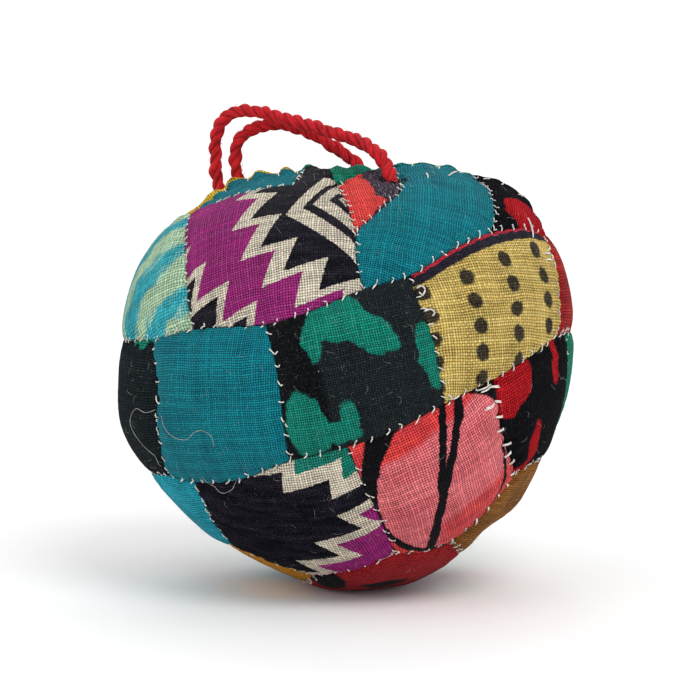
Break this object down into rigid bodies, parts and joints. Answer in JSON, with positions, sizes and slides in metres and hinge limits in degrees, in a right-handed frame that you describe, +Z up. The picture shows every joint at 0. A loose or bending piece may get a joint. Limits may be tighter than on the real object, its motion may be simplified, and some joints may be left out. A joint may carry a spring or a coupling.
{
  "type": "patchwork fabric ball",
  "caption": "Firmly stuffed, uneven round ball sewn from square cloth scraps, with a gathered seam ridge over its top and a short loop of twisted cord.",
  "frame": {"origin": "centre of the ball's bottom, on the surface it rests on, without the cord", "axes": "+Z up; the ball's front faces -Y, and its gathered seam ridge runs over the top along X"},
  "size_m": [0.0914, 0.0886, 0.096],
  "materials": {
    "patchwork_cloth": "open plain weave printed cotton scraps, mostly teal, black and green, whip-stitched in cream thread",
    "red_cord": "red three-ply twisted cotton cord, matt and slightly hairy"
  },
  "bodies": {
    "root": {"stuffed_ball": "patchwork_cloth", "cord_front_strand": "red_cord", "cord_back_strand": "red_cord"}
  },
  "joints": []
}
